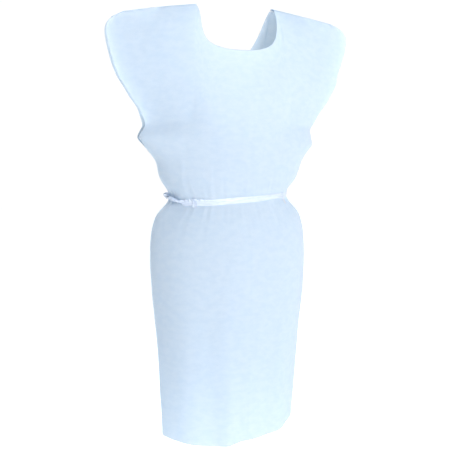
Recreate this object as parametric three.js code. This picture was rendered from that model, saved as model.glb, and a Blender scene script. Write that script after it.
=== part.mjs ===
// A disposable patient gown in its worn shape: one wide sheet folded at both sides, sealed along the
// shoulders, open down the back and held by a film belt. Millimetres, +Z up, the front faces -Y.
// The origin lies midway between the neck ends of the two shoulder seals. "Drop" is the distance below it.
import * as THREE from "three";

// ---- Driving dimensions ----
const SHEET = 1.6; // wall of every sheet solid
const GAP = 0.3; // clearance between solids that touch
const FOLD_Y = 30; // how far the side folds lie behind the shoulder seals

const FRONT_LENGTH = 1067; // neck end of the shoulder seal to the front hem
const HEM_RISE = { side: 20, back: 32, left: 12 }; // how much higher the hem is there

const NECK = { half: 107, frontDrop: 114, frontPower: 3.2, backDrop: 150, backPower: 2.2 };
const SEAL = { half: 5, slope: 0.165, droop: 10, droopFrom: 262 };
const SLEEVE = { start: 190, end: 302, footHalf: 229, footDrop: 290, footWidth: 6 };
// The free edge of the cap sleeve, below the end of its seal: how far past that end, drop.
const SLEEVE_EDGE = [[14, 62], [15, 88], [6, 130], [-10, 168], [-31, 207], [-52, 247]];

const UNDERARM = { drop: 326, lipDrop: 300, lipHalf: 231 };
// The chest: how much of the half turn its top section takes, where the side folds start to stand out,
// and the share of the way down where the front and the back close on each other.
const CHEST = { spread: 0.62, foldFrom: 200, closing: 0.86 };
const WAIST = { drop: 460, groove: 9 }; // groove: half height of the band that the belt lies in
const SKIRT = { belly: 48, hip: 118, seat: 178 }; // how far below the waist the skirt swells
const FLAP_TOP = 128; // the back flaps start this far below the waist
const OVERLAP = 40; // each back panel passes the centre by this much
const OVERLAP_LIFT = SHEET + 0.8; // the left back panel lies this far outside the right one

const BELT = { width: 15, wall: 0.8 };
const KEEPER = { width: 12, above: 4, below: 14, wall: 0.5, turn: 50 }; // turn: degrees from the front
const KNOT = { width: 17, height: 19, depth: 9 };
const TAIL = { width: 13, length: 112, wall: 0.8, splay: 0.22, spread: 1, clear: 1 };

// Horizontal sections below the armholes: drop, half width, depth in front of the fold, depth behind
// it, and the power of the superellipse, which is low where the stiff side fold stands out.
const hemSideDrop = FRONT_LENGTH - HEM_RISE.side;
const bellyDrop = WAIST.drop + SKIRT.belly;
const seatDrop = WAIST.drop + SKIRT.seat;
const SECTIONS = [
  [UNDERARM.drop, 243, 118, 100, 1.4],
  [mix(UNDERARM.drop, WAIST.drop, 0.37), 197, 116, 98, 2],
  [mix(UNDERARM.drop, WAIST.drop, 0.72), 177, 112, 96, 2.1],
  [WAIST.drop - WAIST.groove, 154, 108, 94, 2.1],
  [WAIST.drop + WAIST.groove, 154, 108, 94, 2.1],
  [bellyDrop, 189, 126, 109, 2.1],
  [WAIST.drop + SKIRT.hip, 202, 141, 126, 2.1],
  [seatDrop, 202, 143, 131, 2.1],
  [mix(seatDrop, hemSideDrop, 0.4), 188, 135, 124, 2.1],
  [hemSideDrop, 166, 122, 106, 2.1],
];
// How the sheet leaves the shoulder seal: share of the way down to the underarm, share of the depth.
const FRONT_MIDDLE = [[0, 0], [0.04, 0.17], [0.1, 0.29], [0.2, 0.41], [0.34, 0.56], [0.5, 0.78], [0.75, 0.98], [1, 1]];
const BACK_MIDDLE = [[0, 0], [0.04, 0.16], [0.1, 0.3], [0.2, 0.46], [0.35, 0.67], [0.55, 0.86], [0.8, 0.98], [1, 1]];
// The same beside the sleeve, in millimetres from the seal; both end on the side fold.
const FRONT_SIDE = [[0, 0], [0.04, -12], [0.1, -21], [0.3, -30], [0.5, -28], [0.7, -12], [0.86, 16], [0.92, 24]];
const BACK_SIDE = [[0, 0], [0.04, 15], [0.1, 28], [0.3, 50], [0.5, 58], [0.7, 52], [0.86, 38], [0.92, 31]];
// And along the sleeve's free edge: share of the way down that edge, millimetres from the seal.
const FRONT_EDGE = [[0, 0], [0.1, -7], [0.4, -8], [0.75, -2], [1, 16]];
const BACK_EDGE = [[0, 0], [0.1, 10], [0.4, 26], [0.75, 36], [1, 38]];

// ---- Helpers ----
function mix(a, b, share) {
  return a + (b - a) * share;
}

function ease(from, to, value) {
  const t = Math.min(1, Math.max(0, (value - from) / (to - from)));
  return t * t * (3 - 2 * t);
}

// A smooth value from rows of [place, value, value...], with no overshoot between the rows.
function along(rows, place, column = 1) {
  const last = rows.length - 1;
  if (place <= rows[0][0]) return rows[0][column];
  if (place >= rows[last][0]) return rows[last][column];
  const i = rows.findIndex((row) => row[0] > place) - 1;
  const rise = (k) => (rows[k + 1][column] - rows[k][column]) / (rows[k + 1][0] - rows[k][0]);
  const slope = (k) => {
    if (k === 0 || k === last) return rise(Math.min(k, last - 1));
    const [before, after] = [rise(k - 1), rise(k)];
    return before * after <= 0 ? 0 : (2 * before * after) / (before + after);
  };
  const step = rows[i + 1][0] - rows[i][0];
  const t = (place - rows[i][0]) / step;
  return (
    rows[i][column] * (1 + 2 * t) * (1 - t) ** 2 +
    rows[i + 1][column] * t * t * (3 - 2 * t) +
    step * (slope(i) * t * (1 - t) ** 2 + slope(i + 1) * t * t * (t - 1))
  );
}

// ---- The gown's surface ----
const sealY = SEAL.half + GAP + SHEET; // outer face of a panel where it meets the shoulder seal
const flapDrop = WAIST.drop + FLAP_TOP;

function sealDrop(x) {
  const out = Math.abs(x);
  const bend = Math.max(0, out - SEAL.droopFrom) / (SLEEVE.end - SEAL.droopFrom);
  return SEAL.slope * Math.max(0, out - NECK.half) + SEAL.droop * bend * bend;
}

// Half width of the body panels: the line where a sleeve starts, the underarm lip, then the sections.
function halfWidth(drop) {
  if (drop >= UNDERARM.drop) return along(SECTIONS, drop);
  const top = sealDrop(SLEEVE.start);
  const rows = [
    [top, SLEEVE.start],
    [SLEEVE.footDrop, SLEEVE.footHalf],
  ];
  if (drop <= SLEEVE.footDrop) return mix(rows[0][1], rows[1][1], (drop - top) / (rows[1][0] - top));
  const lip = [rows[1], [UNDERARM.lipDrop, UNDERARM.lipHalf], [UNDERARM.drop, SECTIONS[0][1]]];
  return along(lip, drop);
}

// Share of the way from the shoulder seal down to the underarm.
function shareDown(x, drop) {
  const top = sealDrop(x);
  return Math.min(1, Math.max(0, (drop - top) / (UNDERARM.drop - top)));
}

// A point of the body at a turn of -1 to 1 from the middle (0) to the folds, on the front (side -1) or
// the back (side 1). inset moves it inwards.
function bodyPoint(side, turn, drop, inset = 0) {
  const upper = drop < UNDERARM.drop;
  const spread = upper ? mix(CHEST.spread, 1, ease(0, UNDERARM.drop, drop)) : 1;
  const standing = ease(CHEST.foldFrom, UNDERARM.drop, drop);
  const bend = 2 / (upper ? mix(2, SECTIONS[0][4], standing) : along(SECTIONS, drop, 4));
  const widest = (spread * Math.PI) / 2;
  const angle = turn * widest;
  const half = halfWidth(drop);
  const x = half * Math.sign(angle) * (Math.abs(Math.sin(angle)) / Math.sin(widest)) ** bend;
  const rim = Math.max(0, Math.cos(widest)) ** bend;
  const crown = (Math.max(0, Math.cos(angle)) ** bend - rim) / (1 - rim);
  const depth = side * along(SECTIONS, drop, side < 0 ? 2 : 3);
  const way = shareDown(x, drop);
  const foldEdge = FOLD_Y + side * GAP * 0.5;
  const sideRows = [...(side < 0 ? FRONT_SIDE : BACK_SIDE), [1, foldEdge - side * sealY]];
  const middle = upper
    ? mix(side * sealY, FOLD_Y + depth, along(side < 0 ? FRONT_MIDDLE : BACK_MIDDLE, way))
    : FOLD_Y + depth;
  const edge = upper ? side * sealY + along(sideRows, way) : foldEdge;
  const closed = ease(CHEST.closing, 1, way); // 1 where front and back meet at the fold
  const shrink = 1 - (closed * inset) / half;
  const y = mix(edge, middle, crown) - side * inset * mix(1, crown, closed);
  return new THREE.Vector3(x * shrink, y, -drop);
}

// The turn at which the body's surface has that x.
function turnAt(x, drop) {
  let [low, high] = [0, 1];
  for (let i = 0; i < 30; i++) {
    const middle = (low + high) / 2;
    if (bodyPoint(1, middle, drop).x < Math.abs(x)) low = middle;
    else high = middle;
  }
  return Math.sign(x) * low;
}

// Drop of the top edge at a turn: the neckline, then the shoulder seal.
function topDrop(side, turn) {
  const [depth, power] = side < 0 ? [NECK.frontDrop, NECK.frontPower] : [NECK.backDrop, NECK.backPower];
  let [low, high] = [0, UNDERARM.drop - 1];
  for (let i = 0; i < 30; i++) {
    const drop = (low + high) / 2;
    const x = Math.abs(bodyPoint(side, turn, drop).x);
    const scoop = x < NECK.half ? depth * (1 - (x / NECK.half) ** power) ** (1 / power) : 0;
    if (drop < Math.max(scoop, sealDrop(x))) low = drop;
    else high = drop;
  }
  return high;
}

function hemDrop(side, turn) {
  const angle = (turn * Math.PI) / 2;
  const rise = mix(HEM_RISE.side, side < 0 ? 0 : HEM_RISE.back, Math.cos(angle) ** 2);
  return FRONT_LENGTH - rise - HEM_RISE.left * Math.sin(angle);
}

// ---- Solids ----
// A slab bent to a surface: columns and rows are the surface's own places, and layer is 0 outside, 1 inside.
function sheet(columns, rows, place) {
  const [across, down] = [columns.length - 1, rows.length - 1];
  const geometry = new THREE.BoxGeometry(1, 1, 1, across, down, 1);
  const position = geometry.attributes.position;
  for (let i = 0; i < position.count; i++) {
    const column = columns[Math.round((position.getX(i) + 0.5) * across)];
    const row = rows[Math.round((position.getY(i) + 0.5) * down)];
    const point = place(column, row, position.getZ(i) > 0 ? 0 : 1);
    position.setXYZ(i, point.x, point.y, point.z);
  }
  return facedOut(geometry);
}

// Turns every triangle round if the mesh encloses a negative volume.
function facedOut(geometry) {
  const { index, attributes } = geometry;
  const [a, b, c] = [new THREE.Vector3(), new THREE.Vector3(), new THREE.Vector3()];
  let volume = 0;
  for (let i = 0; i < index.count; i += 3) {
    [a, b, c].forEach((corner, k) => corner.fromBufferAttribute(attributes.position, index.getX(i + k)));
    volume += a.dot(b.cross(c));
  }
  if (volume < 0) {
    for (let i = 0; i < index.count; i += 3) {
      const first = index.getX(i);
      index.setX(i, index.getX(i + 1));
      index.setX(i + 1, first);
    }
  }
  geometry.computeVertexNormals();
  return geometry;
}

function steps(from, to, count) {
  return Array.from({ length: count + 1 }, (_, i) => mix(from, to, i / count));
}

// Shares of the way down to the underarm, close together where the sheet rolls over the shoulder.
const footShare = (SLEEVE.footDrop - sealDrop(SLEEVE.start)) / (UNDERARM.drop - sealDrop(SLEEVE.start));
const UPPER_ROWS = [0, 0.02, 0.06, 0.13, 0.25, 0.4, 0.56, 0.72].map((share) => ({ share }));
UPPER_ROWS.push({ share: footShare }, { share: mix(footShare, 1, 0.4) });
const keeperDrops = [WAIST.drop - BELT.width / 2 - KEEPER.above, WAIST.drop + BELT.width / 2 + KEEPER.below];
const BODY_DROPS = [...SECTIONS.slice(0, 6).map((row) => row[0]), mix(bellyDrop, flapDrop, 0.5)];
BODY_DROPS.push(...keeperDrops);
BODY_DROPS.sort((a, b) => a - b);
const SKIRT_DROPS = [flapDrop + GAP, ...SECTIONS.slice(7).map((row) => row[0])];
SKIRT_DROPS.splice(2, 0, mix(SKIRT_DROPS[1], SKIRT_DROPS[2], 0.5));
SKIRT_DROPS.splice(4, 0, mix(SKIRT_DROPS[3], SKIRT_DROPS[4], 0.5));

// The drop of a row at a turn. Rows below the seat lean towards the hem's own curve.
function rowDrop(side, turn, row) {
  if (row.share !== undefined) return mix(topDrop(side, turn), UNDERARM.drop, row.share);
  const lean = ease(seatDrop, hemSideDrop, row.drop);
  return row.drop + (hemDrop(side, turn) - hemSideDrop) * lean;
}

function panel(side, columns, rows, lift = () => 0) {
  return sheet(columns, rows, (turn, row, layer) => {
    const drop = rowDrop(side, turn, row);
    const at = typeof turn === "number" ? turn : turn.at(drop);
    return bodyPoint(side, at, drop, layer * SHEET - lift(at));
  });
}

const neckTurn = turnAt(NECK.half, 0);
const neckTurns = steps(0, 1, 8).map((share) => neckTurn * Math.sin((share * Math.PI) / 2));
const shoulderTurns = steps(neckTurn, 1, 6).slice(1);
const halfTurns = [...neckTurns, ...shoulderTurns];

function frontPanel() {
  const columns = [...halfTurns.slice(1).reverse().map((turn) => -turn), ...halfTurns];
  const drops = [...BODY_DROPS, ...SKIRT_DROPS].map((drop) => ({ drop }));
  return panel(-1, columns, [...UPPER_ROWS, ...drops]);
}

// The left back panel (hand 1) lies over the right one (hand -1) at the centre.
function backTurns(hand) {
  const past = turnAt(OVERLAP, WAIST.drop);
  return [-past, -past / 2, ...halfTurns].map((turn) => hand * turn);
}

function backLift(hand) {
  return (turn) => (hand > 0 ? OVERLAP_LIFT * (1 - ease(0.3, 0.6, turn)) : 0);
}

function backPanel(hand) {
  return panel(1, backTurns(hand), [...UPPER_ROWS, { drop: UNDERARM.drop }], backLift(hand));
}

function backWaist(hand) {
  const drops = [UNDERARM.drop + GAP, ...BODY_DROPS.slice(1), flapDrop];
  return panel(1, backTurns(hand), drops.map((drop) => ({ drop })), backLift(hand));
}

function backFlap(hand) {
  return panel(1, backTurns(hand), SKIRT_DROPS.map((drop) => ({ drop })), backLift(hand));
}

// Where a sleeve leaves the body panel, and its free edge, both by share of the way down.
const sleeveStart = new THREE.LineCurve(
  new THREE.Vector2(SLEEVE.start, sealDrop(SLEEVE.start)),
  new THREE.Vector2(SLEEVE.footHalf, SLEEVE.footDrop),
);
const sleeveEdge = new THREE.SplineCurve([
  new THREE.Vector2(SLEEVE.end, sealDrop(SLEEVE.end)),
  ...SLEEVE_EDGE.map(([past, drop]) => new THREE.Vector2(SLEEVE.end + past, drop)),
  new THREE.Vector2(SLEEVE.footHalf + SLEEVE.footWidth, SLEEVE.footDrop),
]);

function sleeveHalf(side, hand) {
  const down = [0, 0.03, 0.09, 0.2, 0.35, 0.5, 0.65, 0.8, 0.92, 1];
  return sheet(steps(0, 1, 5), down, (out, share, layer) => {
    const inner = sleeveStart.getPoint(share);
    const outer = sleeveEdge.getPoint(share);
    const x = mix(inner.x, outer.x, out);
    const flat = mix(inner.y, outer.y, out);
    const drop = flat + (sealDrop(x) - flat) * (1 - share) ** 4;
    const besideBody = along(side < 0 ? FRONT_SIDE : BACK_SIDE, shareDown(inner.x, inner.y));
    const besideEdge = along(side < 0 ? FRONT_EDGE : BACK_EDGE, share);
    const y = side * (sealY - layer * SHEET) + mix(besideBody, besideEdge, ease(0, 1, out));
    return new THREE.Vector3(hand * (x + GAP), y, -drop);
  });
}

// A seal is a strip along the shoulder line, from one distance out to another.
function seal(from, to, hand) {
  const count = Math.max(1, Math.round((to - from) / 30));
  const columns = to > SEAL.droopFrom ? steps(from, to, count) : [from, to];
  return sheet(columns, [-SEAL.half, SEAL.half], (x, y, layer) => {
    return new THREE.Vector3(hand * x, y, -sealDrop(x) + SHEET * (0.5 - layer));
  });
}

// A strip on the outside of the waist, between two turns round the whole body: 0 is the front middle,
// 2 the back middle.
function waistPoint(round, drop, out) {
  const folded = Math.abs(round) > 1 ? 2 - Math.abs(round) : Math.abs(round);
  const side = Math.abs(round) > 1 ? 1 : -1;
  const hand = Math.sign(round) || 1;
  const lift = side > 0 ? backLift(1)(hand * folded) : 0;
  return bodyPoint(side, hand * folded, drop, -GAP - lift - out);
}

const knotTurn = turnAt(KNOT.width / 2 + GAP, WAIST.drop);

function waistBelt() {
  const end = 2 - knotTurn;
  const half = BELT.width / 2;
  return sheet(steps(-end, end, 56), [-half, half], (round, rise, layer) => {
    const point = waistPoint(round, WAIST.drop, BELT.wall * (1 - layer));
    return point.setZ(point.z + rise);
  });
}

function beltKeeper(hand) {
  const middle = (hand * KEEPER.turn) / 90;
  const reach = turnAt(KEEPER.width / 2, WAIST.drop);
  const half = BELT.width / 2;
  const rows = [keeperDrops[0], WAIST.drop - half, WAIST.drop + half, keeperDrops[1]];
  return sheet(steps(middle - reach, middle + reach, 2), rows, (round, drop, layer) => {
    const overBelt = BELT.wall + GAP + KEEPER.wall * (1 - layer);
    return waistPoint(round, drop, overBelt);
  });
}

const backY = waistPoint(2, WAIST.drop, 0).y; // outer face of the belt's seat at the back middle

function beltKnot() {
  const outline = new THREE.Shape();
  outline.absellipse(0, 0, KNOT.width / 2, KNOT.height / 2, 0, Math.PI * 2);
  const round = { depth: KNOT.depth, bevelEnabled: false, curveSegments: 8 };
  const geometry = new THREE.ExtrudeGeometry(outline, round);
  geometry.rotateX(Math.PI / 2);
  geometry.translate(0, backY + GAP + KNOT.depth, -WAIST.drop);
  return geometry;
}

// A tail hangs from below the knot and lies on the swell of the back panel.
function beltTail(hand) {
  const start = WAIST.drop + KNOT.height / 2 + GAP;
  return sheet([-TAIL.width / 2, TAIL.width / 2], steps(0, 1, 6), (across, share, layer) => {
    const fall = TAIL.length * share;
    const x = hand * (TAIL.spread + TAIL.width / 2 + TAIL.splay * fall) + across;
    const drop = start + fall;
    const lie = bodyPoint(1, 0, drop, -OVERLAP_LIFT - GAP - TAIL.wall * (1 - layer)).y;
    const hang = Math.max(lie, backY + TAIL.wall * (1 - layer));
    return new THREE.Vector3(x, hang + TAIL.clear, -drop);
  });
}

// ---- The assembly ----
const tissue = new THREE.MeshStandardMaterial({ color: 0xcfe6fb, roughness: 0.85, metalness: 0 });
const sealed = new THREE.MeshStandardMaterial({ color: 0xc3ddf6, roughness: 0.6, metalness: 0 });
const film = new THREE.MeshStandardMaterial({ color: 0xf2f5fa, roughness: 0.35, metalness: 0 });

const gown = new THREE.Group();

function add(name, geometry, material) {
  const mesh = new THREE.Mesh(geometry, material);
  mesh.name = name;
  gown.add(mesh);
}

add("front_panel", frontPanel(), tissue);
for (const [word, hand] of [["left", 1], ["right", -1]]) {
  add(`back_panel_${word}`, backPanel(hand), tissue);
  add(`back_waist_${word}`, backWaist(hand), tissue);
  add(`back_flap_${word}`, backFlap(hand), tissue);
  add(`sleeve_front_${word}`, sleeveHalf(-1, hand), tissue);
  add(`sleeve_back_${word}`, sleeveHalf(1, hand), tissue);
  add(`shoulder_seal_${word}`, seal(NECK.half, SLEEVE.start, hand), sealed);
  add(`sleeve_seal_${word}`, seal(SLEEVE.start + GAP, SLEEVE.end, hand), sealed);
  add(`belt_keeper_${word}`, beltKeeper(hand), film);
  add(`belt_tail_${word}`, beltTail(hand), film);
}
add("waist_belt", waistBelt(), film);
add("belt_knot", beltKnot(), film);

export default gown;
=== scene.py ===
import math
import bmesh
import bpy
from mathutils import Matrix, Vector, noise
from mathutils.bvhtree import BVHTree


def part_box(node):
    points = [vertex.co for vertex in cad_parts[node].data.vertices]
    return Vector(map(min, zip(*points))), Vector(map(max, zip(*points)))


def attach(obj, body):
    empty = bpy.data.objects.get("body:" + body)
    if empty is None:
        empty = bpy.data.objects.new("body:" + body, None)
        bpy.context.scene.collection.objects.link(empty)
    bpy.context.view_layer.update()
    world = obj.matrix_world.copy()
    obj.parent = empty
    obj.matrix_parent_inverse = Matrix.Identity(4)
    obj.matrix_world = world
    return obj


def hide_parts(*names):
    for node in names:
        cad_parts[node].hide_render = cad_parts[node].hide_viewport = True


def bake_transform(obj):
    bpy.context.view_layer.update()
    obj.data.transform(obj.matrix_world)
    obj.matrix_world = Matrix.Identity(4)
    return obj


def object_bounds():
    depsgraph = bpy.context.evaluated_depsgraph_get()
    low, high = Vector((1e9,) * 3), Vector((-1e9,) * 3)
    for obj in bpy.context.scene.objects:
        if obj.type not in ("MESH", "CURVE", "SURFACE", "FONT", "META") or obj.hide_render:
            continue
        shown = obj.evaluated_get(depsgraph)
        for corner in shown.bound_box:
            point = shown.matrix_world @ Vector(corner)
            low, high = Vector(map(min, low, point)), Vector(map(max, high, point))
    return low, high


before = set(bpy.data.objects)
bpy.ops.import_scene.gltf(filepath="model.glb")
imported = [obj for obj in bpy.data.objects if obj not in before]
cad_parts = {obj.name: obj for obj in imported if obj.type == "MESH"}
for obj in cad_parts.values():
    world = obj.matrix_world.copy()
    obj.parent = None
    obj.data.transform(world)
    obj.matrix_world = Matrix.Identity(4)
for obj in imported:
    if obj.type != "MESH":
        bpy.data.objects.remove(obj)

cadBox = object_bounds()


def mixed(a, b, share):
    return a + (b - a) * share


def eased(start, end, value):
    share = min(1.0, max(0.0, (value - start) / (end - start)))
    return share * share * (3 - 2 * share)


def bump(distance, width):  # 1 on the line, falling to nothing a few widths away
    return math.exp(-(distance / width) ** 2)


def srgb(code):
    values = [int(code[i:i + 2], 16) / 255 for i in (1, 3, 5)]
    return [v / 12.92 if v <= 0.04045 else ((v + 0.055) / 1.055) ** 2.4 for v in values] + [1.0]


def makeObject(name, mesh, material, smooth=True):
    data = bpy.data.meshes.new(name)
    mesh.to_mesh(data)
    mesh.free()
    data.materials.append(material)
    if smooth:
        data.shade_smooth()
    piece = bpy.data.objects.new(name, data)
    bpy.context.scene.collection.objects.link(piece)
    return piece


def addModifier(piece, kind, **settings):
    modifier = piece.modifiers.new(kind.title(), kind)
    for key, value in settings.items():
        setattr(modifier, key, value)
    return modifier


# The camera stands before the gown's right side, a little above the belt, and looks slightly down.
view = {
    "azimuth": -25.4,
    "distance": 2.34,
    "height": -0.340,
    "target": -0.541,
    "axisY": 0.03,
    "lens": 74.0,
    "sensor": 36,
    "shift": -0.006,
}


def setCamera():
    camera = bpy.data.cameras.new("studioCamera")
    camera.lens = view["lens"]
    camera.sensor_width = view["sensor"]
    camera.shift_x = view["shift"]
    turn = math.radians(view["azimuth"])
    centre = Vector((0, view["axisY"], 0))
    place = centre + Vector((math.sin(turn), -math.cos(turn), 0)) * view["distance"]
    place.z = view["height"]
    target = centre + Vector((0, 0, view["target"]))
    body = bpy.data.objects.new("studioCamera", camera)
    body.location = place
    body.rotation_euler = (target - place).to_track_quat("-Z", "Y").to_euler()
    bpy.context.scene.collection.objects.link(body)
    bpy.context.scene.camera = body


studio = {
    "floorDrop": 0.42,  # below the hem, the gown hangs clear of it
    "floorSize": 30,
    "floorPaint": "#FBFCFD",
    "floorTint": "#FFFBF4",
    "key": {"place": (0.1, -3.1, 0.6), "size": 1.2, "power": 67},
    "fill": {"place": (2.6, -0.8, 0.4), "size": 2.0, "power": 2},
    "back": {"place": (0.4, 2.8, 1.2), "size": 2.4, "power": 26},
    "room": "#BCC6D2",  # the backdrop behind the gown is lit, the room in front of it is dimmer and cooler
    "backdrop": "#FFFFFF",
    "horizon": (0.60, 0.87),  # from the room's colour to the backdrop's
    "roomLight": 1.03,
    "floorGlow": (0.10, 0.40),  # glow strength: weaker under the gown, a painted shadow, and full out towards the backdrop
    "paintedShadowReach": (0.50, 1.15),
    "aim": (0, 0, -0.5),
}


def setStudio():
    scene = bpy.context.scene
    scene.view_settings.view_transform = "Standard"
    scene.view_settings.look = "None"
    world = bpy.data.worlds.new("studioWorld")
    world.use_nodes = True
    sky = world.node_tree
    direction = sky.nodes.new("ShaderNodeTexCoord")
    parts = sky.nodes.new("ShaderNodeSeparateXYZ")
    sky.links.new(direction.outputs["Generated"], parts.inputs["Vector"])
    spread = sky.nodes.new("ShaderNodeMapRange")
    spread.inputs["From Min"].default_value = -1
    spread.inputs["From Max"].default_value = 1
    sky.links.new(parts.outputs["Y"], spread.inputs["Value"])
    ramp = sky.nodes.new("ShaderNodeValToRGB")
    ramp.color_ramp.interpolation = "EASE"
    near, far = ramp.color_ramp.elements
    near.position, far.position = studio["horizon"]
    near.color, far.color = srgb(studio["room"]), srgb(studio["backdrop"])
    sky.links.new(spread.outputs["Result"], ramp.inputs["Fac"])
    background = sky.nodes["Background"]
    sky.links.new(ramp.outputs["Color"], background.inputs["Color"])
    background.inputs["Strength"].default_value = studio["roomLight"]
    scene.world = world

    sweep = bmesh.new()
    bmesh.ops.create_grid(sweep, x_segments=1, y_segments=1, size=studio["floorSize"] / 2)
    floorHeight = cadBox[0][2] - studio["floorDrop"]
    bmesh.ops.translate(sweep, verts=sweep.verts, vec=(0, 0, floorHeight))
    makeObject("studioFloor", sweep, floorMaterial(floorHeight), smooth=False)

    for name in ("key", "fill", "back"):
        settings = studio[name]
        light = bpy.data.lights.new(name + "Light", "AREA")
        light.shape = "DISK"
        light.size = settings["size"]
        light.energy = settings["power"]
        lamp = bpy.data.objects.new(name + "Light", light)
        lamp.location = settings["place"]
        aim = Vector(studio["aim"]) - lamp.location
        lamp.rotation_euler = aim.to_track_quat("-Z", "Y").to_euler()
        scene.collection.objects.link(lamp)


def addNode(tree, kind, settings=None, **links):
    node = tree.nodes.new(kind)
    for key, value in (settings or {}).items():
        if hasattr(node, key):
            setattr(node, key, value)
        else:
            node.inputs[key].default_value = value
    for key, source in links.items():
        tree.links.new(source, node.inputs[key.replace("_", " ")])
    return node


def startMaterial(name, settings):
    material = bpy.data.materials.new(name)
    material.use_nodes = True
    shader = material.node_tree.nodes["Principled BSDF"]
    for key, value in settings.items():
        shader.inputs[key].default_value = value
    return material, material.node_tree, shader


def paintBetween(ramp, dark, light):  # each is a place on the ramp and a colour
    for end, (place, colour) in zip(ramp.color_ramp.elements, (dark, light)):
        end.position = place
        end.color = srgb(colour)


# Matt white floor paint that glows softly, with a painted shadow under the gown where the glow is weaker.
def floorMaterial(floorHeight):
    material, tree, shader = startMaterial("paleStudioFloor", {
        "Base Color": srgb(studio["floorPaint"]), "Roughness": 0.9,
        "Emission Color": srgb(studio["floorTint"])})
    spot = addNode(tree, "ShaderNodeTexCoord")
    offset = addNode(tree, "ShaderNodeVectorMath", {"operation": "SUBTRACT"})
    offset.inputs[1].default_value = (0, 0, floorHeight)
    tree.links.new(spot.outputs["Object"], offset.inputs[0])
    away = addNode(tree, "ShaderNodeVectorMath", {"operation": "LENGTH"}, Vector=offset.outputs["Vector"])
    # the painted shadow: the glow rises from weak near the gown to full over this distance
    start, end = studio["paintedShadowReach"]
    dim, bright = studio["floorGlow"]
    glow = addNode(tree, "ShaderNodeMapRange", {
        "interpolation_type": "SMOOTHSTEP",
        "From Min": start, "From Max": end, "To Min": dim, "To Max": bright},
        Value=away.outputs["Value"])
    tree.links.new(glow.outputs["Result"], shader.inputs["Emission Strength"])
    return material


setCamera()
setStudio()
print("camera and studio ready")


# Tissue, film and tissue laid together: matt, soft, and creped across the sheet. The crepe is about 0.6 mm
# in the real sheet and is drawn at 2.4 mm, with the cloudy formation of the tissue over it at 14 mm.
tissue = {
    "light": "#C8DDF2",
    "cloud": "#C2D9F0",
    "crepe": 0.0024,
    "cloudSize": 0.014,
    "crepeDepth": 0.00022,
    "glow": 0.55,  # share of the light that scatters inside the sheet
    "glowReach": 0.006,
}


def tissueMaterial():
    material, tree, shader = startMaterial("crepedTissueSheet", {
        "Roughness": 0.85, "Specular IOR Level": 0.2, "Sheen Weight": 0.1, "Sheen Roughness": 0.6,
        "Subsurface Weight": tissue["glow"], "Subsurface Scale": tissue["glowReach"],
        "Subsurface Radius": (0.8, 1.0, 1.2)})
    uv = addNode(tree, "ShaderNodeUVMap", {"uv_map": "sheetMetres"})
    across = addNode(tree, "ShaderNodeMapping", {"Scale": (0.6, 1.0, 1.0)}, Vector=uv.outputs["UV"])
    clouds = addNode(tree, "ShaderNodeTexNoise", {"Scale": 1 / tissue["cloudSize"], "Detail": 3.0,
                                                  "Roughness": 0.6}, Vector=across.outputs["Vector"])
    ramp = addNode(tree, "ShaderNodeValToRGB", Fac=clouds.outputs["Fac"])
    paintBetween(ramp, (0.36, tissue["cloud"]), (0.62, tissue["light"]))
    tree.links.new(ramp.outputs["Color"], shader.inputs["Base Color"])
    crepe = addNode(tree, "ShaderNodeTexNoise", {"Scale": 1 / tissue["crepe"], "Detail": 2.0},
                    Vector=across.outputs["Vector"])
    relief = addNode(tree, "ShaderNodeBump", {"Strength": 0.5, "Distance": tissue["crepeDepth"]},
                     Height=crepe.outputs["Fac"])
    tree.links.new(relief.outputs["Normal"], shader.inputs["Normal"])
    return material


# The same sheet after the sealing bar: its layers are fused, so it is smoother, darker and slightly glossy,
# with the bar's knurling pressed into it.
sealed = {"knurl": 0.0022, "depth": 0.0003, "pit": "#C4DCF2", "rib": "#D8ECFC"}


def sealMaterial():
    material, tree, shader = startMaterial("heatSealedTissue", {"Roughness": 0.55, "Specular IOR Level": 0.4})
    uv = addNode(tree, "ShaderNodeUVMap", {"uv_map": "sheetMetres"})
    knurl = addNode(tree, "ShaderNodeTexVoronoi", {"Scale": 1 / sealed["knurl"], "Randomness": 0.0},
                    Vector=uv.outputs["UV"])
    ramp = addNode(tree, "ShaderNodeValToRGB", Fac=knurl.outputs["Distance"])
    paintBetween(ramp, (0.0, sealed["pit"]), (1.0, sealed["rib"]))
    tree.links.new(ramp.outputs["Color"], shader.inputs["Base Color"])
    relief = addNode(tree, "ShaderNodeBump", {"Strength": 0.6, "Distance": sealed["depth"]},
                     Height=knurl.outputs["Distance"])
    tree.links.new(relief.outputs["Normal"], shader.inputs["Normal"])
    return material


# Thin milky polyethylene film: soft gloss, drawn out lengthwise, with fine crinkles across it.
film = {"streak": 0.004, "depth": 0.0005, "dull": "#BFC8D8", "bright": "#D0D9E6"}


def filmMaterial():
    material, tree, shader = startMaterial("milkyPolyethyleneFilm", {"Roughness": 0.32, "IOR": 1.5,
                                                                     "Specular IOR Level": 0.5})
    uv = addNode(tree, "ShaderNodeUVMap", {"uv_map": "sheetMetres"})
    lengthwise = addNode(tree, "ShaderNodeMapping", {"Scale": (0.25, 1.0, 1.0)}, Vector=uv.outputs["UV"])
    streaks = addNode(tree, "ShaderNodeTexNoise", {"Scale": 1 / film["streak"], "Detail": 3.0},
                      Vector=lengthwise.outputs["Vector"])
    ramp = addNode(tree, "ShaderNodeValToRGB", Fac=streaks.outputs["Fac"])
    paintBetween(ramp, (0.3, film["dull"]), (0.6, film["bright"]))
    tree.links.new(ramp.outputs["Color"], shader.inputs["Base Color"])
    relief = addNode(tree, "ShaderNodeBump", {"Strength": 0.7, "Distance": film["depth"]},
                     Height=streaks.outputs["Fac"])
    tree.links.new(relief.outputs["Normal"], shader.inputs["Normal"])
    return material


gownTissue = tissueMaterial()
sealedTissue = sealMaterial()
beltFilm = filmMaterial()
print("materials ready")


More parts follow.
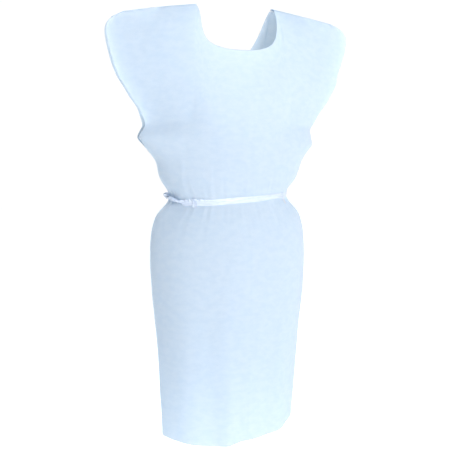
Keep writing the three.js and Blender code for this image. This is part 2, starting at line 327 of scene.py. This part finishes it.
# Places that the sheets are laid by, read from the frame.
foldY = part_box("back_flap_left")[0][1]  # the side folds, where front and back meet
waistZ = (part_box("waist_belt")[0][2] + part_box("waist_belt")[1][2]) / 2
hemZ = cadBox[0][2]
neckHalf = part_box("shoulder_seal_left")[0][0]
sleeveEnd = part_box("sleeve_seal_left")[1][0]
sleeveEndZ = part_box("sleeve_seal_left")[0][2]


def cadTree(*names):
    merged = bmesh.new()
    for name in names:
        merged.from_mesh(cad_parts[name].data)
    bmesh.ops.remove_doubles(merged, verts=merged.verts, dist=1e-6)
    tree = BVHTree.FromBMesh(merged)
    merged.free()
    return tree


def surfaceY(tree, side, x, z, slip=0.0006):
    # where a line along Y meets the frame, from the front (-1) or from behind (1); slip reaches past the
    # clearance between two nodes
    for dx, dz in ((0, 0), (-slip, 0), (slip, 0), (0, slip), (0, -slip)):
        hit = tree.ray_cast(Vector((x + dx, side, z + dz)), Vector((0, -side, 0)))[0]
        if hit is not None:
            return hit.y
    return None


def surfaceZ(tree, x, above=0.2):  # the top of the frame over the shoulder line
    hit = tree.ray_cast(Vector((x, 0, above)), Vector((0, 0, -1)))[0]
    return hit.z if hit is not None else None


sealTree = cadTree("shoulder_seal_left", "sleeve_seal_left")


def lastInside(test, inside, outside):
    for step in range(22):
        middle = (inside + outside) / 2
        if test(middle):
            inside = middle
        else:
            outside = middle
    return inside


def smoothed(values, rounds):
    for step in range(rounds):
        inner = [(values[i - 1] + 2 * values[i] + values[i + 1]) / 4 for i in range(1, len(values) - 1)]
        values = [values[0]] + inner + [values[-1]]
    return values


def fromTable(table, value):  # smooth reading between the rows of a small table
    if value <= table[0][0]:
        return table[0][1]
    for (a, first), (b, second) in zip(table, table[1:]):
        if value <= b:
            return mixed(first, second, eased(a, b, value))
    return table[-1][1]


# How the worn sheet differs from the even frame. The belt is pulled down at the right tab, so the waist
# of the gown runs down with it. The cap sleeves and the hem are not quite the same on both sides. The drops
# go by degrees round the body and the shifts by metres below the shoulders.
worn = {
    "beltDrop": [(-150, 0), (-105, 0.003), (-90, 0.007), (-70, 0.018), (-50, 0.017), (0, 0.011), (52, 0.005),
                 (100, 0)],
    "beltReach": 0.13,  # how far above and below the belt the sheet follows it
    "rightShift": [(0.0, -0.011), (0.03, -0.010), (0.06, -0.010), (0.17, -0.009), (0.215, -0.001),
                   (0.255, 0.010), (0.285, 0.011), (0.305, 0.000), (0.33, 0.009), (0.37, 0.008), (0.41, 0),
                   (0.60, -0.003), (0.82, -0.004), (0.98, -0.013), (1.07, -0.018)],
    "leftShift": [(0.0, 0.002), (0.04, 0.008), (0.10, 0.005), (0.15, 0.004), (0.185, 0.014),
                  (0.22, 0.014), (0.27, 0.003), (0.30, -0.002), (0.32, -0.004), (0.345, 0.008),
                  (0.42, 0.011), (0.45, 0.006), (0.60, 0.004), (0.98, 0.003), (1.07, 0.004)],
    "hemDrop": [(-170, 0.002), (-100, 0.001), (-75, 0.003), (-45, 0.006), (-28, 0.006), (-8, -0.003),
                (25, -0.003), (55, 0.001), (110, 0.001), (170, 0.002)],
    "neckShift": 0.008,  # the right shoulder reaches further towards the neck
    "neckRise": 0.005,
    "neckZ": -0.115,
    "spur": 0.007,  # the corner that each side fold makes at the foot of the armhole
    "spurZ": {1: -0.339, -1: -0.319},
    # half width of the sleeve's edge, and how far its two layers fall together there, per side
    "sleeveHalf": [(0.04, 0.304), (0.062, 0.316), (0.10, 0.316), (0.13, 0.308), (0.168, 0.292),
                   (0.207, 0.271), (0.25, 0.25), (0.30, 0.232), (0.33, 0.243)],
    "closing": {1: 0.3, -1: 0.72},
    "closedY": 0.004,
    "closedLean": 0.12,  # how fast the closed edge swings back below the end of the seal
    "armhole": (-0.33, -0.24),
    "hemFrom": (-0.80, -1.04),
}


def turnOf(point):  # degrees round the body, 0 at the front middle
    return math.degrees(math.atan2(point.x, foldY - point.y))


def wear(point):
    moved = point.copy()
    turn = turnOf(point)
    aside = abs(point.x)
    hand = 1 if point.x > 0 else -1
    toEdge = eased(0.60, 1.0, aside / fromTable(worn["sleeveHalf"], -point.z))
    closing = worn["closing"][hand] * toEdge * eased(*worn["armhole"], point.z)
    closing *= eased(-0.01, -0.06, point.z)
    moved.y = mixed(point.y, worn["closedY"] + worn["closedLean"] * max(0, -0.10 - point.z), closing)
    table = worn["leftShift"] if point.x > 0 else worn["rightShift"]
    moved.x += fromTable(table, -point.z) * eased(0.09, 0.21, aside)
    if point.x < 0:
        moved.x += worn["neckShift"] * bump(point.x + neckHalf, 0.030) * eased(-0.10, -0.02, point.z)
    if point.y < 0:
        moved.z += worn["neckRise"] * bump(point.z - worn["neckZ"], 0.030) * eased(0.105, 0.060, aside)
    moved.x += hand * worn["spur"] * bump(point.z - worn["spurZ"][hand], 0.008) * eased(0.205, 0.240, aside)
    moved.z -= fromTable(worn["beltDrop"], turn) * bump(point.z - waistZ, worn["beltReach"])
    moved.z -= fromTable(worn["hemDrop"], turn) * eased(*worn["hemFrom"], point.z)
    return moved


# The folds that the sheet takes when it is worn, with their depths in metres.
folds = {
    "gather": 0.0030,  # at the belt, fading over this length above and below it
    "gatherFade": 0.050,
    "gatherWaves": ((43, 1.0, 0.7), (61, 0.7, 2.1), (29, 0.6, 4.0)),  # how many round, strength, start
    "flute": 0.0045,  # soft waves that hang down the skirt
    "crease": 0.0009,  # the factory fold down the middle of the front
    "creaseX": 0.002,
    "hollow": 0.010,  # between the bust and each shoulder
    "hollowFrom": (0.235, -0.085),
    "hollowTo": (0.150, -0.265),
    "hollowWidth": 0.042,
    "ripple": 0.0012,
}


def foldDepth(point, edgeFade):
    across = math.atan2(point.x, foldY - point.y)  # 0 at the front middle, pi at the back middle
    fromBelt = abs(point.z - waistZ)
    turned = across + 0.02 * noise.noise(Vector((point.x * 14, point.y * 14, point.z * 9)))
    comb = sum(share * math.cos(count * turned + start) for count, share, start in folds["gatherWaves"])
    strength = 0.45 + 0.55 * noise.noise(Vector((across * 1.7, 3.1, 0.4)))
    strength += 0.4 * eased(0.7, 2.0, abs(across))
    pressed = mixed(0.12, 1.0, eased(0.006, 0.022, fromBelt))
    depth = folds["gather"] * comb * 0.5 * strength * pressed * math.exp(-fromBelt / folds["gatherFade"])
    below = eased(waistZ, hemZ, point.z)
    wave = math.cos(7 * across + 1.9) + 0.6 * math.cos(11 * across + 0.4 + 2 * point.z)
    depth += folds["flute"] * 0.6 * wave * below * eased(0.1, 0.5, abs(across))
    if point.y < foldY:
        ridge = bump(point.x - folds["creaseX"], 0.0035) * eased(-0.14, -0.22, point.z)
        depth += folds["crease"] * ridge * (1 - bump(fromBelt, 0.02))
        for hand in (-1, 1):
            start, end = (Vector((x * hand, z)) for x, z in (folds["hollowFrom"], folds["hollowTo"]))
            line = end - start
            offset = Vector((point.x, point.z)) - start
            share = min(1.0, max(0.0, offset.dot(line) / line.length_squared))
            depth -= folds["hollow"] * bump((offset - line * share).length, folds["hollowWidth"])
    soft = Vector((point.x * 11, point.y * 11, point.z * 7))
    depth += folds["ripple"] * (noise.noise(soft) + 0.5 * noise.noise(soft * 2.3))
    return depth * edgeFade


# flat is the estimated width and length of each part of the sheet, and area the estimated area of that part
# without the neck and the armholes, all in its worn shape.
sheets = {
    "columns": 104,
    "rows": 114,
    "thickness": 0.0005,
    "smoothRounds": 70,
    "flatFront": (0.70, 1.067),
    "areaFront": 0.55,
    "flatBack": (0.42, 1.03),
    "areaBack": 0.31,
    "underSeal": 0.0015,
    "belowNeck": -0.17,  # the free edges at the back are read from here down
    "armpit": -0.334,  # below this the front and the back meet on the side fold
    "crowdedFrom": -0.36,  # from here down the columns crowd towards the fold
    "neckFade": -0.42,  # from here down the rows lie level
    "hemFrom": -0.62,  # from here down they lean towards the hem
    "hemInset": 0.985,  # the hem is read no further out than this share of its half width
    "edgeInset": 0.995,  # and an edge point this share of the way out
    "pinned": 0.012,  # half height of the band under the belt that isn't smoothed
    "bend": 0.34,  # how far below the tails the real flaps take to bend open
}


class SheetPlan:
    # Finds the outline of one layer of the sheet in the frame and lays rows and columns between its edges.
    def __init__(self, nodes, side, hand, wholeWidth):
        self.tree = cadTree(*nodes)
        self.side, self.hand, self.wholeWidth = side, hand, wholeWidth
        self.rows = sheets["rows"]
        self.columns = sheets["columns"] if wholeWidth else sheets["columns"] * 5 // 8
        self.sideHem = self.hemAt(self.foldAt(hemZ + 0.07) * 0.965)
        self.middleHem = self.hemAt(0.0)
        self.rowZ = [mixed(sleeveEndZ + 0.001, self.sideHem, i / self.rows) for i in range(self.rows + 1)]
        lowest = self.sideHem + 0.008  # the hem slopes, so the fold is read a little above it
        outer = [self.foldAt(max(z, lowest)) for z in self.rowZ]
        outer[0] = sleeveEnd
        self.outer = smoothed(outer, 1)
        self.inner = None if wholeWidth else smoothed([self.innerEdge(z) for z in self.rowZ], 2)
        self.topLine = self.findTop()

    def look(self, x, z):
        return surfaceY(self.tree, self.side, self.hand * x, z)

    def foldAt(self, z):
        return lastInside(lambda x: self.look(x, z) is not None, 0.14, 0.5)

    def hemAt(self, x, start=-0.9):
        return lastInside(lambda z: self.look(x, z) is not None, start, -1.2)

    def innerEdge(self, z):
        z = max(min(z, sheets["belowNeck"]), self.middleHem + 0.004)
        return lastInside(lambda x: self.look(x, z) is not None, 0.0, -0.2)

    def shoulderZ(self, x):
        x = max(neckHalf + 0.0008, min(sleeveEnd - 0.0008, x))
        top = surfaceZ(sealTree, x)
        if top is None:
            top = surfaceZ(sealTree, x + 0.0012)
        return top - sheets["underSeal"]

    def findTop(self):
        start = 0.0 if self.wholeWidth else self.innerEdge(sheets["belowNeck"])
        points = []
        for i in range(80):
            x = mixed(start, neckHalf, math.sin(i / 80 * math.pi / 2))
            aside = self.hand * x
            z = lastInside(lambda z: surfaceY(self.tree, self.side, aside, z, 0) is not None, -0.2, 0.05)
            points.append(Vector((x, 0, z)))
        for i in range(41):
            x = mixed(neckHalf, sleeveEnd, i / 40)
            points.append(Vector((x, 0, self.shoulderZ(x))))
        lengths = [0.0]
        for a, b in zip(points, points[1:]):
            lengths.append(lengths[-1] + (b - a).length)
        return points, lengths

    def topPoint(self, share):
        points, lengths = self.topLine
        place = share * lengths[-1]
        i = max(1, next(k for k in range(1, len(lengths)) if lengths[k] >= place - 1e-9))
        part = (place - lengths[i - 1]) / (lengths[i] - lengths[i - 1])
        return points[i - 1].lerp(points[i], part)

    def lowPoint(self, share, row):
        outer = self.outer[row]
        inner = -outer if self.wholeWidth else self.inner[row]
        spread = mixed(0.5, 1.0, eased(sleeveEndZ, sheets["crowdedFrom"], self.rowZ[row])) * math.pi / 2
        start = math.asin(max(-1.0, inner * math.sin(spread) / outer))
        x = outer * math.sin(mixed(start, spread, share)) / math.sin(spread)
        return Vector((x, 0, self.rowZ[row]))

    def place(self, share, row):  # share runs from the inner edge, or the far side, to the outer edge
        low, first = self.lowPoint(share, row), self.lowPoint(share, 0)
        if self.wholeWidth:
            top = self.topPoint(abs(share * 2 - 1))
            top.x *= 1 if share > 0.5 else -1
        else:
            top = self.topPoint(share)
        fade = 1 - eased(sleeveEndZ, sheets["neckFade"], self.rowZ[row])
        point = low + (top - first) * fade
        hemShare = eased(sheets["hemFrom"], self.sideHem, self.rowZ[row])
        if hemShare > 0:
            widest = self.outer[-1] * sheets["hemInset"]
            narrowest = -widest if self.wholeWidth else self.inner[-1] + 0.0015
            inside = max(narrowest, min(widest, point.x))
            hem = self.hemAt(inside, self.rowZ[-1] + 0.06)
            point.z = mixed(point.z, hem + (point.z - self.sideHem), hemShare)
        point.y = self.depthAt(point, share)
        point.x *= self.hand
        return point

    def depthAt(self, point, share):
        atEdge = share > 0.9999 or (self.wholeWidth and share < 0.0001)
        if atEdge and point.z < sheets["armpit"]:
            return foldY
        x = point.x * (sheets["edgeInset"] if atEdge else 1.0)
        z = point.z
        for step in range(12):  # a point on the very outline is looked up just inside it
            y = surfaceY(self.tree, self.side, self.hand * x, z, 0.0022)
            if y is not None:
                return y
            x *= 0.997
            z -= 0.0008
        return foldY


def lengthsAcross(mesh, shares, rows, fromMiddle):  # metres along each row, to lay the pattern by
    lines = {}
    for vert in mesh.verts:
        lines.setdefault(round(shares[vert][1] * rows), []).append(vert)
    across = {}
    for line in lines.values():
        line.sort(key=lambda vert: shares[vert][0])
        total = 0.0
        across[line[0]] = total
        for a, b in zip(line, line[1:]):
            total += (b.co - a.co).length
            across[b] = total
        if fromMiddle:
            for vert in line:
                across[vert] -= total / 2
    return across


def buildSheet(name, nodes, side, hand=1, wholeWidth=False):
    plan = SheetPlan(nodes, side, hand, wholeWidth)
    mesh = bmesh.new()
    bmesh.ops.create_grid(mesh, x_segments=plan.columns, y_segments=plan.rows, size=0.5)
    uvLayer = mesh.loops.layers.uv.new("sheetMetres")
    pinned = set()
    shares = {}
    for vert in mesh.verts:
        share, down = vert.co.x + 0.5, 0.5 - vert.co.y
        row = round(down * plan.rows)
        shares[vert] = (share, down)
        vert.co = plan.place(share, row)
        onSide = share > 0.9999 or (wholeWidth and share < 0.0001)
        if row == 0 or onSide or abs(vert.co.z - waistZ) < sheets["pinned"]:
            pinned.add(vert)
    free = [vert for vert in mesh.verts if vert not in pinned]
    for step in range(sheets["smoothRounds"]):
        bmesh.ops.smooth_vert(mesh, verts=free, factor=0.5, use_axis_y=True)
    mesh.normal_update()
    if sum(face.normal.y for face in mesh.faces) * side < 0:
        bmesh.ops.reverse_faces(mesh, faces=mesh.faces)
        mesh.normal_update()
    moves = {}
    for vert in mesh.verts:
        share = shares[vert][0]
        toSide = min(1 - share, share) if wholeWidth else 1 - share
        fade = eased(0.0, 0.06, toSide) * eased(0.0, 0.03, shares[vert][1])
        moves[vert] = vert.normal * foldDepth(vert.co, fade)
    for vert, move in moves.items():
        vert.co = wear(vert.co + move)
    across = lengthsAcross(mesh, shares, plan.rows, wholeWidth)
    for face in mesh.faces:
        for loop in face.loops:
            loop[uvLayer].uv = (across[loop.vert] * hand, loop.vert.co.z + 3 * side)
    piece = makeObject(name, mesh, gownTissue)
    addModifier(piece, "SOLIDIFY", thickness=sheets["thickness"], offset=-1)
    addModifier(piece, "SUBSURF", levels=1, render_levels=1)
    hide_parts(*nodes)
    return piece


def frontNodes():
    return ["front_panel", "sleeve_front_left", "sleeve_front_right"]


def backNodes(word):
    return [f"back_panel_{word}", f"back_waist_{word}", f"sleeve_back_{word}", f"back_flap_{word}"]


def makeSheets():
    front = buildSheet("gown_front", frontNodes(), -1, wholeWidth=True)
    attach(front, "gown_body")
    for word, hand in (("left", 1), ("right", -1)):
        back = buildSheet(f"gown_back_{word}", backNodes(word), 1, hand=hand)
        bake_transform(back)


makeSheets()
print("sheets laid on the frame")


def strip(name, along, across, place, material, thickness, levels=1):
    # a band of sheet or film: place gives its points, from a share along it, 0 to 1, and a side, -1 to 1
    mesh = bmesh.new()
    bmesh.ops.create_grid(mesh, x_segments=along, y_segments=across, size=1)
    uvLayer = mesh.loops.layers.uv.new("sheetMetres")
    shares = {}
    for vert in mesh.verts:
        shares[vert] = (vert.co.x * 0.5 + 0.5, vert.co.y)
        vert.co = place(*shares[vert])
    length = (place(0.5, 0) - place(0, 0)).length + (place(1, 0) - place(0.5, 0)).length
    width = (place(0.5, 1) - place(0.5, -1)).length
    for face in mesh.faces:
        for loop in face.loops:
            share, side = shares[loop.vert]
            loop[uvLayer].uv = (share * length, side * width / 2)
    mesh.normal_update()
    piece = makeObject(name, mesh, material)
    addModifier(piece, "SOLIDIFY", thickness=thickness, offset=0)
    if levels:
        addModifier(piece, "SUBSURF", levels=levels, render_levels=levels)
    return piece


seal = {"half": 0.0070, "thickness": 0.0009, "roll": 0.0012, "wander": 0.0004}


def makeSeal(word, hand):
    nodes = (f"shoulder_seal_{word}", f"sleeve_seal_{word}")
    tree = cadTree(*nodes)

    def place(share, side):
        x = mixed(neckHalf, sleeveEnd - 0.0008, share)
        z = surfaceZ(tree, hand * x) or surfaceZ(tree, hand * (x + 0.0006))
        pressed = seal["wander"] * noise.noise(Vector((x * 70, side * 2, hand * 3.0)))
        return wear(Vector((hand * x, side * seal["half"], z - seal["roll"] * side ** 2 - 0.0004 + pressed)))

    piece = strip(f"shoulder_seal_band_{word}", 70, 8, place, sealedTissue, seal["thickness"], levels=0)
    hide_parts(*nodes)
    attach(piece, "gown_body")


makeSeal("left", 1)
makeSeal("right", -1)
print("shoulder seals made")

# The film runs flat between the two tabs and turns into a loose rope beyond the right one.
belt = {
    "length": 0.83,  # flat, from one side of the knot round to the other
    "width": 0.0150,
    "farWidth": 0.0125,  # at the left tab
    "core": 0.0046,  # radius of the film where it is gathered into a rope
    "tabTurn": 54.0,  # degrees from the front middle
    "ropeEnd": 118.0,
    "turns": 4.5,
    "thickness": 0.00018,
    "crinkle": 0.0011,
    "sunk": 0.0005,
    "ruffle": 0.0030,
    "knotGap": (0.013, 0.094),  # it stops this far beside the middle of the back, this far behind the folds
    "ropeFrom": (0.28, 0.42),  # radians past the right tab, where the rope takes shape
}


def roundTheBody(tree, turn, z, reach=0.5):  # outermost point of the frame at that turn from the front middle
    outward = Vector((math.sin(turn), -math.cos(turn), 0))
    hit = tree.ray_cast(Vector((0, foldY, z)) + outward * reach, -outward)[0]
    return hit, outward


def makeBelt():
    tree = cadTree("waist_belt")
    end = math.pi - math.atan2(*belt["knotGap"])
    ropeStart, ropeDone = belt["ropeFrom"]
    tabTurn, ropeEnd = math.radians(belt["tabTurn"]), math.radians(belt["ropeEnd"])

    def place(share, side):
        turn = mixed(-end, end, share)
        hit, outward = roundTheBody(tree, turn, waistZ)
        rope = eased(-tabTurn - ropeStart, -tabTurn - ropeDone, turn)
        rope *= mixed(1.0, 0.35, eased(-ropeEnd, -ropeEnd - 0.5, turn))
        width = mixed(belt["width"], belt["farWidth"], eased(-0.4, 1.0, turn))
        grain = Vector((turn * mixed(9, 30, rope), side * mixed(1.3, 2.2, rope), 2.0))
        crinkle = belt["crinkle"] * mixed(0.3, 1.0, rope) * noise.noise(grain)
        pleat = 0.0007 * bump(side - 0.18, 0.16) + 0.0004 * bump(side + 0.45, 0.12)
        ruffle = belt["ruffle"] * bump(turn + tabTurn + 0.10, 0.16) * eased(0.1, 1.0, side)
        wave = math.sin(turn * 92 + 1.3 * math.sin(turn * 23))
        flatOut = pleat + crinkle + ruffle * (0.7 + wave)
        flatUp = width / 2 * side + 0.6 * ruffle * (0.4 + wave) + 0.5 * crinkle
        curl = side * 2.7 + 2 * math.pi * belt["turns"] * (turn + tabTurn) / (ropeEnd - tabTurn)
        core = belt["core"] * (1 + 0.24 * math.cos(2.1 * curl + 0.6) + 0.22 * noise.noise(grain * 0.8))
        out = mixed(flatOut, core * (1.15 + math.cos(curl)) + crinkle, rope)
        up = mixed(flatUp, core * 1.15 * math.sin(curl) + crinkle, rope)
        return wear(hit) + outward * (out - belt["sunk"]) + Vector((0, 0, up))

    piece = strip("film_belt", 560, 14, place, beltFilm, belt["thickness"])
    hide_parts("waist_belt")
    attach(piece, "gown_body")


makeBelt()

# The left tab lies flat over the belt. The right one is drawn up with the belt into a small ruffle.
tab = {
    "width": 0.012,
    "thickness": 0.0002,
    "clear": 0.0004,  # off the belt and the tissue
    "left": {"above": 0.0005, "below": 0.0135, "crumple": 0.0004, "shrink": 1.0},
    "right": {"above": 0.0030, "below": 0.0040, "crumple": 0.0016, "shrink": 0.8},
}


def laidTree(*names):  # the gown and the belt as they lie, for the tabs to rest on
    merged = bmesh.new()
    for name in names:
        merged.from_mesh(bpy.data.objects[name].data)
    tree = BVHTree.FromBMesh(merged)
    merged.free()
    return tree


def makeTab(word, hand):
    node = f"belt_keeper_{word}"
    tree = laidTree("gown_front", "film_belt")
    low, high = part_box(node)
    settings = tab[word]
    middle = math.atan2((low[0] + high[0]) / 2, foldY - (low[1] + high[1]) / 2)
    radius = math.hypot((low[0] + high[0]) / 2, foldY - (low[1] + high[1]) / 2)
    reach = tab["width"] / 2 / radius * settings["shrink"]
    length = settings["above"] + belt["width"] + settings["below"]

    def place(share, side):
        z = waistZ + belt["width"] / 2 + settings["above"] - share * length
        turn = middle + side * reach
        outward = Vector((math.sin(turn), -math.cos(turn), 0))
        spot = wear(Vector((0, foldY, z)) + outward * radius)
        hit = tree.ray_cast(spot + outward * 0.03, -outward)[0] or spot
        crumple = settings["crumple"] * noise.noise(Vector((share * 7, side * 2.4, hand * 5)))
        fold = settings["crumple"] * (1 + math.sin(side * 7 + 2 * share))
        return hit + outward * (tab["clear"] + fold + crumple) + Vector((0, 0, crumple))

    piece = strip(f"belt_tab_{word}", 24, 12, place, beltFilm, tab["thickness"])
    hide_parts(node)
    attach(piece, "gown_body")


makeTab("left", 1)
makeTab("right", -1)

knot = {"size": (0.0052, 0.0030, 0.0056), "width": 0.0052, "thickness": 0.0002}


def makeKnot():  # one turn of film through a trefoil
    low, high = (Vector(corner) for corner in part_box("belt_knot"))
    centre = (low + high) / 2

    def path(angle):
        x = (math.sin(angle) + 2 * math.sin(2 * angle)) * knot["size"][0] * 0.5
        z = (math.cos(angle) - 2 * math.cos(2 * angle)) * knot["size"][2] * 0.5
        return centre + Vector((x, -math.sin(3 * angle) * knot["size"][1], z))

    def place(share, side):
        angle = share * 2 * math.pi
        here = path(angle)
        forward = (path(angle + 0.01) - path(angle - 0.01)).normalized()
        outward = (here - centre + Vector((0, 0.004, 0))).normalized()
        across = forward.cross(outward).normalized()
        crumple = 0.0006 * noise.noise(here * 420 + Vector((side * 1.5, 0, 0)))
        bow = 0.0009 * (1 - side ** 2)
        return here + across * side * knot["width"] / 2 + outward * (crumple + bow)

    piece = strip("belt_knot_film", 160, 8, place, beltFilm, knot["thickness"])
    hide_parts("belt_knot")
    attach(piece, "gown_body")


makeKnot()

# Each free end comes out of the knot gathered and turned on edge, opens out and ends in a slanted cut.
tail = {
    "width": 0.013,
    "gathered": 0.0045,
    "flare": 0.028,
    "twist": 0.9,
    "ripple": 0.0014,
    "cut": 0.006,
    "thickness": 0.0002,
    "bend": 0.02,  # the length over which the real end bends when it is lifted
}


def makeTail(word, hand):
    node = f"belt_tail_{word}"
    tree = cadTree(node)
    low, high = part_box(node)
    length = high[2] - low[2]
    width = tail["width"]
    foot = (low[0] + width / 2) if hand < 0 else (high[0] - width / 2)
    head = hand * (0.001 + width / 2)

    def place(share, side):
        fall = share * (length - 0.0005) - tail["cut"] * share ** 6 * (0.5 + 0.5 * side)
        x = mixed(head, foot, fall / length)
        z = high[2] - fall
        opened = eased(0.0, tail["flare"], fall)
        half = mixed(tail["gathered"], width, opened) / 2
        y = surfaceY(tree, 1, x, z - 0.0002) or high[1]
        angle = (1 - opened) * tail["twist"] + 0.35 * math.sin(fall * 40 + hand)
        ripple = tail["ripple"] * noise.noise(Vector((fall * 60, side * 1.2, hand * 4.0)))
        middle = mixed(hand * 0.0025, x, opened)
        out = y + 0.0012 + ripple + abs(side * half * math.sin(angle))
        return Vector((middle + side * half * math.cos(angle), out, z + 0.0004))

    piece = strip(f"belt_end_{word}", 60, 8, place, beltFilm, tail["thickness"])
    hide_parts(node)
    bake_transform(piece)


makeTail("left", 1)
makeTail("right", -1)
print("belt, tabs, knot and tails made")
